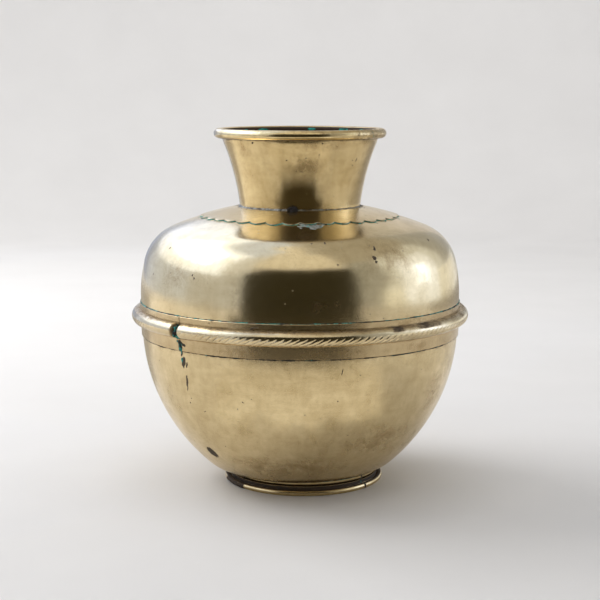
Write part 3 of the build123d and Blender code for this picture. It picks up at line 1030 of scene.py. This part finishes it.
def lip_centre():
    """The middle of the lip's roll."""
    start = neck_face(1.3)
    roll = trace((0.0, 0.0), 0.0, [bend(lip_wire_radius, -lip_roll_sweep)], 0.6)
    first = start[len(start) - len(roll)]
    return first[0] + lip_wire_radius, first[1]


def round_loop(centre, radius, sides):
    turns = [2 * pi * k / sides for k in range(sides)]
    return np.array([(centre[0] + radius * cos(t), centre[1] + radius * sin(t), cos(t), sin(t)) for t in turns])


lip_middle = lip_centre()
wire_loop = round_loop(lip_middle, lip_wire_radius - 0.2, 20)
lip_wire = ring("lip_iron_wire", lambda azimuth: wire_loop, 220, iron)


def scallop_edge(azimuth):
    """The flange's outer radius: lobes that bulge outwards and meet in cusps, cut by hand."""
    lobe = (azimuth / FULL_TURN + 1.0) * scallop_count
    which, share = int(lobe), lobe - int(lobe)
    wide = 0.5 + 0.06 * ripple(which, 0.0, 0.0, 1.37, 2.0)
    share = share ** (0.5 / wide)
    depth = scallop_depth * (0.92 + 0.35 * ripple(which, 0.0, 0.0, 1.73, 7.0))
    lift = 1 - abs(2 * share - 1) ** 2.1
    return flange_edge - scallop_depth + depth * lift - 0.3


def flange_loop(azimuth):
    inner, outer = neck_radius + 0.3, scallop_edge(azimuth)
    radii = np.linspace(inner, outer, 26)
    rows = []
    for radius in radii:
        r, z, out_r, out_z = crown_row(radius)
        rows.append((r + out_r * flange_sheet, z + out_z * flange_sheet, out_r, out_z))
    r, z, out_r, out_z = crown_row(outer)
    for share in (0.78, 0.45, 0.1):
        bulge = 0.22 * sin(pi * share)
        lift = flange_sheet * share
        rows.append((r + out_r * lift + bulge, z + out_z * lift, out_r, out_z))
    for radius in (outer - 0.2, (inner + outer) / 2, inner):
        r, z, out_r, out_z = crown_row(radius)
        rows.append((r - out_r * 0.08, z - out_z * 0.08, out_r, out_z))
    return np.array(rows)


def flange_marks(azimuth, r, z, index):
    past = 1 - smooth_step(0.4, 4.0, r - neck_radius - 1.0)
    rim = 1 - smooth_step(0.2, 1.2, scallop_edge(azimuth) - r)
    return {"grime": max(0.45 * past, 0.38 * rim), "green": 0.22 * rim}


flange = ring(
    "scalloped_neck_flange", flange_loop, scallop_count * 20, flange_brass,
    lambda x, y, z, index: hammering(x, y, z - 0.9), flange_marks, sharp=50.0,
)


def scallop_solder_loop(azimuth):
    """The thin uneven fillet of solder and green salts along the scallops."""
    edge = scallop_edge(azimuth)
    fat = 0.62 + 0.6 * ripple(azimuth, 0.0, 0.0, 5.0, 1.0) + 0.4 * ripple(azimuth, 0.0, 0.0, 1.6, 9.0)
    fat = max(0.25, fat)
    rows = []
    for radius, lift in ((edge - 0.5, -0.2), (edge - 0.3, 0.78), (edge + 0.45 * fat, 0.4), (edge + fat, -0.15)):
        r, z, out_r, out_z = crown_row(radius)
        rows.append((r + out_r * lift, z + out_z * lift, out_r, out_z))
    return np.array(rows)


scallop_seam = ring(
    "scallop_seam_solder", scallop_solder_loop, scallop_count * 30, seam_crust,
    lambda x, y, z, index: hammering(x, y, z - 0.5), lambda azimuth, r, z, index: {
        "green": 0.35 if azimuth < -5 else 0.1
    }, sharp=70.0,
)


def neck_solder_loop(azimuth):
    """The fillet of solder in the corner of neck and flange, uneven all the way round."""
    fat = 1.7 * (0.75 + 0.55 * ripple(azimuth, 0.0, 0.0, 8.0, 5.0) + 0.3 * ripple(azimuth, 0.0, 0.0, 2.2, 2.0))
    fat = max(0.5, fat)
    side, top = crown_row(neck_radius + fat), crown_row(neck_radius)
    base = flange_sheet - 0.2
    corner = (neck_radius - 0.7, top[1] + base)
    middle = crown_row(neck_radius + 0.36 * fat)
    rows = [
        (*corner, 1.0, 0.5), (neck_radius - 0.5, top[1] + flange_sheet + fat, 1.0, 1.0),
        (neck_radius + 0.12, top[1] + flange_sheet + 0.9 * fat, 1.0, 0.5),
        (middle[0], middle[1] + flange_sheet + 0.34 * fat, 0.7, 0.7),
        (side[0], side[1] + flange_sheet + 0.02, 0.3, 1.0), (side[0], side[1] + base, 0.3, 1.0),
    ]
    return np.array(rows)


neck_solder = ring(
    "neck_base_solder", neck_solder_loop, 900, dull_solder, lambda x, y, z, index: 0.12 * ripple(x, y, z, 1.6, 3.0),
    lambda azimuth, r, z, index: {"green": 0.2}, sharp=70.0,
)

lump_row = crown_row(neck_radius + 3.2)
lump = blob(
    "solder_lump_on_flange", (*on_plan(lump_row[0] - 1.0, -6.5), lump_row[1] + 1.9), (4.4, 3.0, 3.3), black_crust, 5,
    0.5, 2.5
)


patch_azimuth, patch_radius, patch_half_width, patch_half_depth = 6.5, 96.0, 14.0, 6.0


def patch_thickness_at(azimuth, r, z):
    """The share of its full thickness that the smear has at a place, ragged at its edges."""
    wide = radians(azimuth - patch_azimuth) * r / patch_half_width
    deep = (r - patch_radius - 3.0 * ripple(azimuth, 0.0, 0.0, 5.0, 3.0)) / patch_half_depth
    body = 1 - smooth_step(0.40, 0.95, hypot(wide, deep) + 0.7 * ripple(azimuth, r, 0.0, 3.0, 1.0))
    return body * (0.75 + 0.5 * ripple(azimuth * 2, r, 0.0, 2.0, 6.0))


solder_patch = smear(
    "solder_smear_on_shoulder", crown_row, (-4.0, 17.0), (88.0, 104.5), 0.62, patch_thickness_at, 110, 56,
    patch_solder, hammering, lambda azimuth, r, z: {"green": 0.1},
)


# ---------------------------------------------------------------- foot

def foot_face(bead, sweep=300.0):
    """The foot's face: the bead rolled round its wire, the recess over it, and the lip under the bowl."""
    start = (foot_radius - bead * cos(radians(sweep)), foot_centre_height - bead * sin(radians(sweep)))
    wall = [bend(4.0, 34.0), bend(4.0, -69.0), run(0.3), bend(2.4, 35.0), run(1.5)]
    return trace(start, sweep, [bend(bead, -sweep)] + wall, 0.5)


foot_rows = foot_face(foot_wire_radius)
foot_profile = sheet_loop(foot_rows, foot_sheet, 0.2)


def foot_break(azimuth, z):
    """How far the bead is broken away at a place."""
    past = smooth_step(-78.0, -73.0, azimuth) * (1 - smooth_step(-50.0, -45.0, azimuth))
    return past * (1 - smooth_step(3.5, 6.5, z))


def foot_push(x, y, z, index):
    worn = foot_break(azimuth_of(x - foot_offset, y), z)
    dent = 0.12 * ripple(x, y, z, 13.0, 2.7) - worn * (0.25 + 0.5 * ripple(x, y, z, 3.5, 1.1))
    return dent * smooth_step(0.9, 2.0, z)


def foot_marks(azimuth, r, z, index):
    # The recess over the bead is darkened with painted shade as well as dirt, and it also holds green salts.
    recess = smooth_step(4.1, 5.1, z) * (1 - smooth_step(7.0, 8.4, z))
    joint = 1 - smooth_step(0.8, 2.2, abs(radians(azimuth - 50.0) * r))
    worn = foot_break(azimuth, z)
    return {
        "grime": max(0.72 * recess, 0.7 * joint, 0.8 * worn),
        "green": max(0.30 * recess, 0.42 * joint),
    }


foot = ring(
    "foot_ring_beaded", lambda azimuth: foot_profile, 420, foot_brass, foot_push, foot_marks, offset=foot_offset
)

foot_wire_loop = round_loop((foot_radius, foot_centre_height), foot_wire_radius - 0.15, 16)
foot_wire = ring("foot_iron_wire", lambda azimuth: foot_wire_loop, 220, iron, offset=foot_offset)

BOWL = bowl_face(1.0)


def bowl_underside(radius):
    """The row of the bowl's outer face at a radius near its foot."""
    low = BOWL[BOWL[:, 1] < 60.0][::-1]
    return np.array([np.interp(radius, low[:, 0], low[:, k]) for k in range(4)])


def foot_solder_loop(azimuth):
    """The fillet between the foot's lip and the bowl, which is higher on the side the foot leans to."""
    fat = 1.6 * (0.8 + 0.4 * ripple(azimuth, 0.0, 0.0, 7.0, 3.0))
    lip_r, lip_z = foot_rows[-1][:2]
    shift = foot_offset * sin(radians(azimuth))
    touch = bowl_underside(lip_r + shift)[1] + 0.35
    top = max(touch, lip_z - 0.05)
    rows = [
        (lip_r - 1.7, lip_z - 1.0, 0.0, -1.0), (lip_r - 0.5, lip_z - 1.1, 0.0, -1.0),
        (lip_r + 0.14 * fat, lip_z - 0.45, 1.0, 0.0), (lip_r + 0.2 + 0.28 * fat, top, 1.0, 0.0),
        (lip_r - 0.6, top + 0.1, 0.0, 1.0), (lip_r - 1.8, top + 0.05, 0.0, 1.0),
    ]
    return np.array(rows)


foot_solder = ring(
    "foot_joint_solder", foot_solder_loop, 420, dark_seam_crust,
    lambda x, y, z, index: 0.12 * ripple(x, y, z, 2.0, 3.0), lambda azimuth, r, z, index: {"green": 0.25},
    offset=foot_offset, sharp=70.0,
)


# ---------------------------------------------------------------- crumbs of solder and salts along the joints

def crumb_tree(material):
    """Small crumbs on the points of a base mesh, each of its own size and turn."""
    s = Shape("Crumbs on points", {"Least size": 0.0002, "Largest size": 0.0007, "Flatness": 0.5, "Seed": 3})
    stone = s.node("GeometryNodeMeshIcoSphere", {}, {"Radius": 1.0, "Subdivisions": 1}).out(0)
    size = s.node(
        "FunctionNodeRandomValue", {"data_type": "FLOAT"},
        {2: s.size("Least size"), 3: s.size("Largest size"), "Seed": s.size("Seed")},
    ).out(1)
    flat = s.node("ShaderNodeCombineXYZ", {}, {0: size, 1: size, 2: size * s.size("Flatness")}).out(0)
    normal = s.node("GeometryNodeInputNormal").out(0)
    turn = s.node("FunctionNodeAlignRotationToVector", {"axis": "Z"}, {"Vector": normal}).out(0)
    placed = s.node(
        "GeometryNodeInstanceOnPoints", {}, {"Points": s.start(), "Instance": stone, "Rotation": turn, "Scale": flat}
    ).out(0)
    s.close(placed, material)
    return s


def dots(places):
    """A base of loose points in mm for the crumb tree."""
    mesh = bpy.data.meshes.new("dots")
    mesh.from_pydata([tuple(np.array(p) * MM) for p in places], [], [])
    return linked("dots", mesh)


picker = np.random.default_rng(41)


def scattered(count, azimuths, place):
    """Points at random azimuths in a span. place gives the row for an azimuth and a random share."""
    found = []
    for azimuth in picker.uniform(*azimuths, count):
        if ripple(azimuth, 0.0, 0.0, 6.0, 11.0) < picker.uniform(-0.5, 0.35):
            continue
        r, z, out_r, out_z = place(azimuth, picker.normal())
        x, y = on_plan(r, azimuth)
        push = hammering(x, y, z)
        found.append((*on_plan(r + out_r * push, azimuth), z + out_z * push))
    return found


def beside_neck(azimuth, share):
    row = crown_row(neck_radius + 1.6 + min(5.0, abs(share) * 1.6))
    row[1] += flange_sheet
    return row


def beside_scallops(azimuth, share):
    return crown_row(scallop_edge(azimuth) + 0.5 + min(4.0, abs(share) * 0.9))


neck_crumbs = crumb_tree(dull_solder).make("neck_solder_crumbs", dots(scattered(420, (-180, 180), beside_neck)))
scallop_crumbs = crumb_tree(crust).make(
    "scallop_green_crumbs", dots(scattered(700, (-180, 180), beside_scallops)), {"Largest size": 0.00055, "Seed": 8}
)


# ---------------------------------------------------------------- pieces into the frame

PIECES = {
    "lower_bowl": ("bowl_brass", [bowl]),
    "shoulder_shell": ("shoulder_brass", [shoulder]),
    "waist_seam_solder": ("solder", [hidden_bead]),
    "waist_band": ("band_brass", [band]),
    "rope_moulding": ("moulding_brass", [moulding]),
    "joint_solder": ("solder", [joint_fill, joint_drip]),
    "band_upper_solder": ("solder", [upper_seam]),
    "band_lower_solder": ("solder", [lower_seam]),
    "neck_collar": ("neck_brass", [neck]),
    "lip_wire": ("iron_wire", [lip_wire]),
    "neck_flange": ("flange_brass", [flange]),
    "neck_solder": ("solder", [neck_solder, neck_crumbs, scallop_seam, scallop_crumbs]),
    "solder_lump": ("solder", [lump]),
    "shoulder_patch": ("solder", [solder_patch]),
    "foot_ring": ("foot_brass", [foot]),
    "foot_wire": ("iron_wire", [foot_wire]),
    "foot_solder": ("solder", [foot_solder]),
}
for node, (slot, pieces) in PIECES.items():
    for piece in pieces:
        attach(piece, "root")
        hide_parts(node)


# ---------------------------------------------------------------- floor, wall and lights

def card(name, colour, strength, points, faces):
    """A plain panel that only shows in reflections."""
    mesh = bpy.data.meshes.new(name)
    mesh.from_pydata(points, [], faces)
    f = Finish(name + "_glow")
    glow = f.node("ShaderNodeEmission", {}, {"Color": (*colour, 1.0), "Strength": strength}).out(0)
    f.node("ShaderNodeOutputMaterial", {}, {"Surface": glow})
    mesh.materials.append(f.material)
    made = linked(name, mesh)
    made.visible_camera = made.visible_diffuse = made.visible_shadow = made.visible_transmission = False


def strip_card(name, colour, azimuths, steps, edges_at):
    """A card drawn out between two azimuths. edges_at gives the points of its two edges at an azimuth."""
    points, faces = [], []
    for k in range(steps + 1):
        points += edges_at(azimuths[0] + (azimuths[1] - azimuths[0]) * k / steps)
    for k in range(steps):
        faces.append((2 * k, 2 * k + 1, 2 * k + 3, 2 * k + 2))
    card(name, colour, 1.0, points, faces)


def bowed_card(name, colour, radius, azimuths, low_edge, high_edge):
    """A card bowed round the pot between two azimuths and two heights, in metres, its upper left corner cut."""
    def edges_at(azimuth):
        x, y = on_plan(radius, azimuth)
        cut = 0.26 * (1 - smooth_step(azimuths[0], azimuths[0] + 17.0, azimuth))
        return [(x, y, low_edge), (x, y, high_edge - cut)]

    strip_card(name, colour, azimuths, 48, edges_at)


def floor_card(name, colour, near, nearer_by, far, azimuths):
    """A part of the floor of another tone, as the brass sees it, its near edge wavering and closer in front."""
    def edges_at(azimuth):
        nearer = smooth_step(-37.0, -29.0, azimuth) * (1 - smooth_step(25.0, 33.0, azimuth))
        edge = near - nearer_by * nearer + 0.03 * ripple(azimuth, 0.0, 0.0, 11.0, 1.0)
        return [(*on_plan(edge, azimuth), 0.002), (*on_plan(far, azimuth), 0.002)]

    strip_card(name, colour, azimuths, 60, edges_at)


def dome_card(name, colour, strength, radius, azimuths, elevations):
    """A piece of a dome, between two azimuths and two elevations, seen from the pot."""
    across, up = 32, 16
    points, faces = [], []
    for j in range(up + 1):
        level = radians(elevations[0] + (elevations[1] - elevations[0]) * j / up)
        for k in range(across + 1):
            azimuth = azimuths[0] + (azimuths[1] - azimuths[0]) * k / across
            x, y = on_plan(radius * cos(level), azimuth)
            points.append((x, y, 0.2 + radius * sin(level)))
    wide = across + 1
    for j in range(up):
        for k in range(across):
            faces.append((j * wide + k, j * wide + k + 1, (j + 1) * wide + k + 1, (j + 1) * wide + k))
    card(name, colour, strength, points, faces)


def soft_wall(name, floor_radius, height, cove, material):
    """A pale floor and the round wall that rises from it in a cove."""
    rows = [(0.5, 0.0), (floor_radius - cove, 0.0)]
    for k in range(1, 17):
        turn = radians(90.0 * k / 16)
        rows.append((floor_radius - cove + cove * sin(turn), cove - cove * cos(turn)))
    rows.append((floor_radius, height))
    sides = 96
    points, faces = [], []
    for k in range(sides):
        for r, z in rows:
            x, y = on_plan(r, FULL_TURN * k / sides)
            points.append((x, y, z))
    count = len(rows)
    for k in range(sides):
        here, there = k * count, ((k + 1) % sides) * count
        for i in range(count - 1):
            faces.append((here + i, here + i + 1, there + i + 1, there + i))
    faces.append(tuple(k * count for k in range(sides)))
    mesh = bpy.data.meshes.new(name)
    mesh.from_pydata(points, [], faces)
    mesh.polygons.foreach_set("use_smooth", [True] * len(mesh.polygons))
    mesh.materials.append(material)
    linked(name, mesh)


def area_light(name, place, target, size, power, colour=(1.0, 1.0, 1.0)):
    lamp = bpy.data.lights.new(name, "AREA")
    lamp.shape = "RECTANGLE"
    lamp.size, lamp.size_y = size
    lamp.energy = power
    lamp.color = colour
    made = linked(name, lamp)
    made.location = place
    made.rotation_euler = (Vector(target) - Vector(place)).to_track_quat("-Z", "Y").to_euler()
    made.visible_glossy = made.visible_camera = False


soft_wall("studio_floor_and_wall", 3.0, 3.2, 0.9, plain_cloth("pale_studio_cloth"))

area_light("window_side_light", (-1.55, 0.75, 1.45), (0.0, 0.0, 0.12), (1.5, 1.3), 28.0, (1.0, 0.99, 0.98))
area_light("ceiling_light", (0.15, -0.15, 2.3), (0.0, 0.0, 0.0), (1.6, 1.6), 8.0)
area_light("backdrop_light", (-0.4, 0.9, 2.1), (-0.3, 3.0, 1.0), (2.2, 0.6), 20.0)

# What the brass sees of the room: name, colour, strength, radius, azimuths and elevations
DAYLIGHT, SOFT_DAYLIGHT, BLUISH = (0.94, 1.0, 1.18), (0.86, 1.0, 1.36), (0.93, 1.0, 1.15)
CREAM, PALE, DARK = (1.0, 0.98, 0.92), (0.95, 1.0, 1.05), (0.036, 0.029, 0.014)
for name, colour, strength, radius, azimuths, elevations in (
    ("window_in_brass", DAYLIGHT, 4.2, 1.96, (-142.0, -76.0), (30.0, 55.0)),
    ("bright_wall_in_brass", SOFT_DAYLIGHT, 1.70, 2.0, (-166.0, -58.0), (15.0, 61.0)),
    ("sky_over_window_in_brass", SOFT_DAYLIGHT, 0.88, 2.02, (-168.0, -40.0), (59.0, 80.0)),
    ("far_left_wall_in_brass", SOFT_DAYLIGHT, 0.86, 2.04, (-142.0, -84.0), (-5.0, 21.0)),
    ("left_backdrop_in_brass", SOFT_DAYLIGHT, 0.50, 2.05, (-168.0, -138.0), (-5.0, 21.0)),
    ("near_left_wall_in_brass", BLUISH, 0.66, 2.06, (-90.0, -38.0), (-5.0, 20.0)),
    ("high_left_wall_in_brass", BLUISH, 0.84, 2.06, (-90.0, -38.0), (18.0, 66.0)),
    ("ceiling_in_brass", CREAM, 0.86, 2.1, (-44.0, 34.0), (38.0, 72.0)),
    ("ceiling_over_pot_in_brass", CREAM, 0.95, 2.12, (-168.0, 8.0), (71.0, 89.0)),
    ("dim_ceiling_in_brass", CREAM, 0.46, 2.14, (30.0, 178.0), (44.0, 84.0)),
    ("right_window_in_brass", (0.84, 1.0, 1.45), 2.2, 1.90, (87.0, 104.0), (3.0, 22.0)),
    ("right_window_edge_in_brass", (0.88, 1.0, 1.3), 1.35, 1.93, (77.0, 114.0), (-5.0, 34.0)),
    ("low_right_wall_in_brass", PALE, 1.05, 1.97, (58.0, 152.0), (-9.0, 5.5)),
    ("right_wall_in_brass", (0.92, 1.0, 1.12), 0.85, 2.0, (64.0, 128.0), (-4.0, 46.0)),
    ("right_corner_in_brass", PALE, 0.44, 2.03, (37.0, 66.0), (-4.0, 46.0)),
    ("back_right_wall_in_brass", PALE, 0.46, 2.05, (126.0, 160.0), (-4.0, 44.0)),
):
    dome_card(name, colour, strength, radius, azimuths, elevations)
bowed_card("dark_room_in_brass", (0.034, 0.030, 0.015), 1.06, (-39.0, 39.0), -0.01, 0.94)

# The floor as the brass sees it: name, colour, near edge, how much nearer in front, far edge, azimuths
for name, colour, near, nearer_by, far, azimuths in (
    ("cloth_edge_in_brass", DARK, 0.75, 0.23, 1.055, (-48.0, 42.0)),
    ("lit_cloth_in_front_in_brass", (0.84, 0.82, 0.79), 0.19, 0.0, 0.50, (-52.0, 50.0)),
    ("lit_cloth_on_right_in_brass", (0.70, 0.69, 0.68), 0.46, 0.0, 1.02, (58.0, 150.0)),
    ("shaded_cloth_on_right_in_brass", (0.36, 0.35, 0.34), 1.02, 0.0, 1.95, (100.0, 168.0)),
    ("shaded_cloth_on_left_in_brass", (0.50, 0.49, 0.47), 0.35, 0.0, 1.80, (-170.0, -128.0)),
):
    floor_card(name, colour, near, nearer_by, far, azimuths)

world = bpy.data.worlds.new("studio_air")
world.use_nodes = True
air = world.node_tree.nodes["Background"].inputs
air["Color"].default_value = (1.0, 1.0, 1.0, 1.0)
air["Strength"].default_value = 0.60
bpy.context.scene.world = world

view = bpy.data.cameras.new("front_view")
view.lens, view.sensor_width = 85.96, 36.0
camera = linked("front_view", view)
camera.location = (0.0, -1.3425, 0.3724)
camera.rotation_euler = (radians(81.446), 0.0, 0.0)
bpy.context.scene.camera = camera
bpy.context.scene.view_settings.view_transform = "Standard"
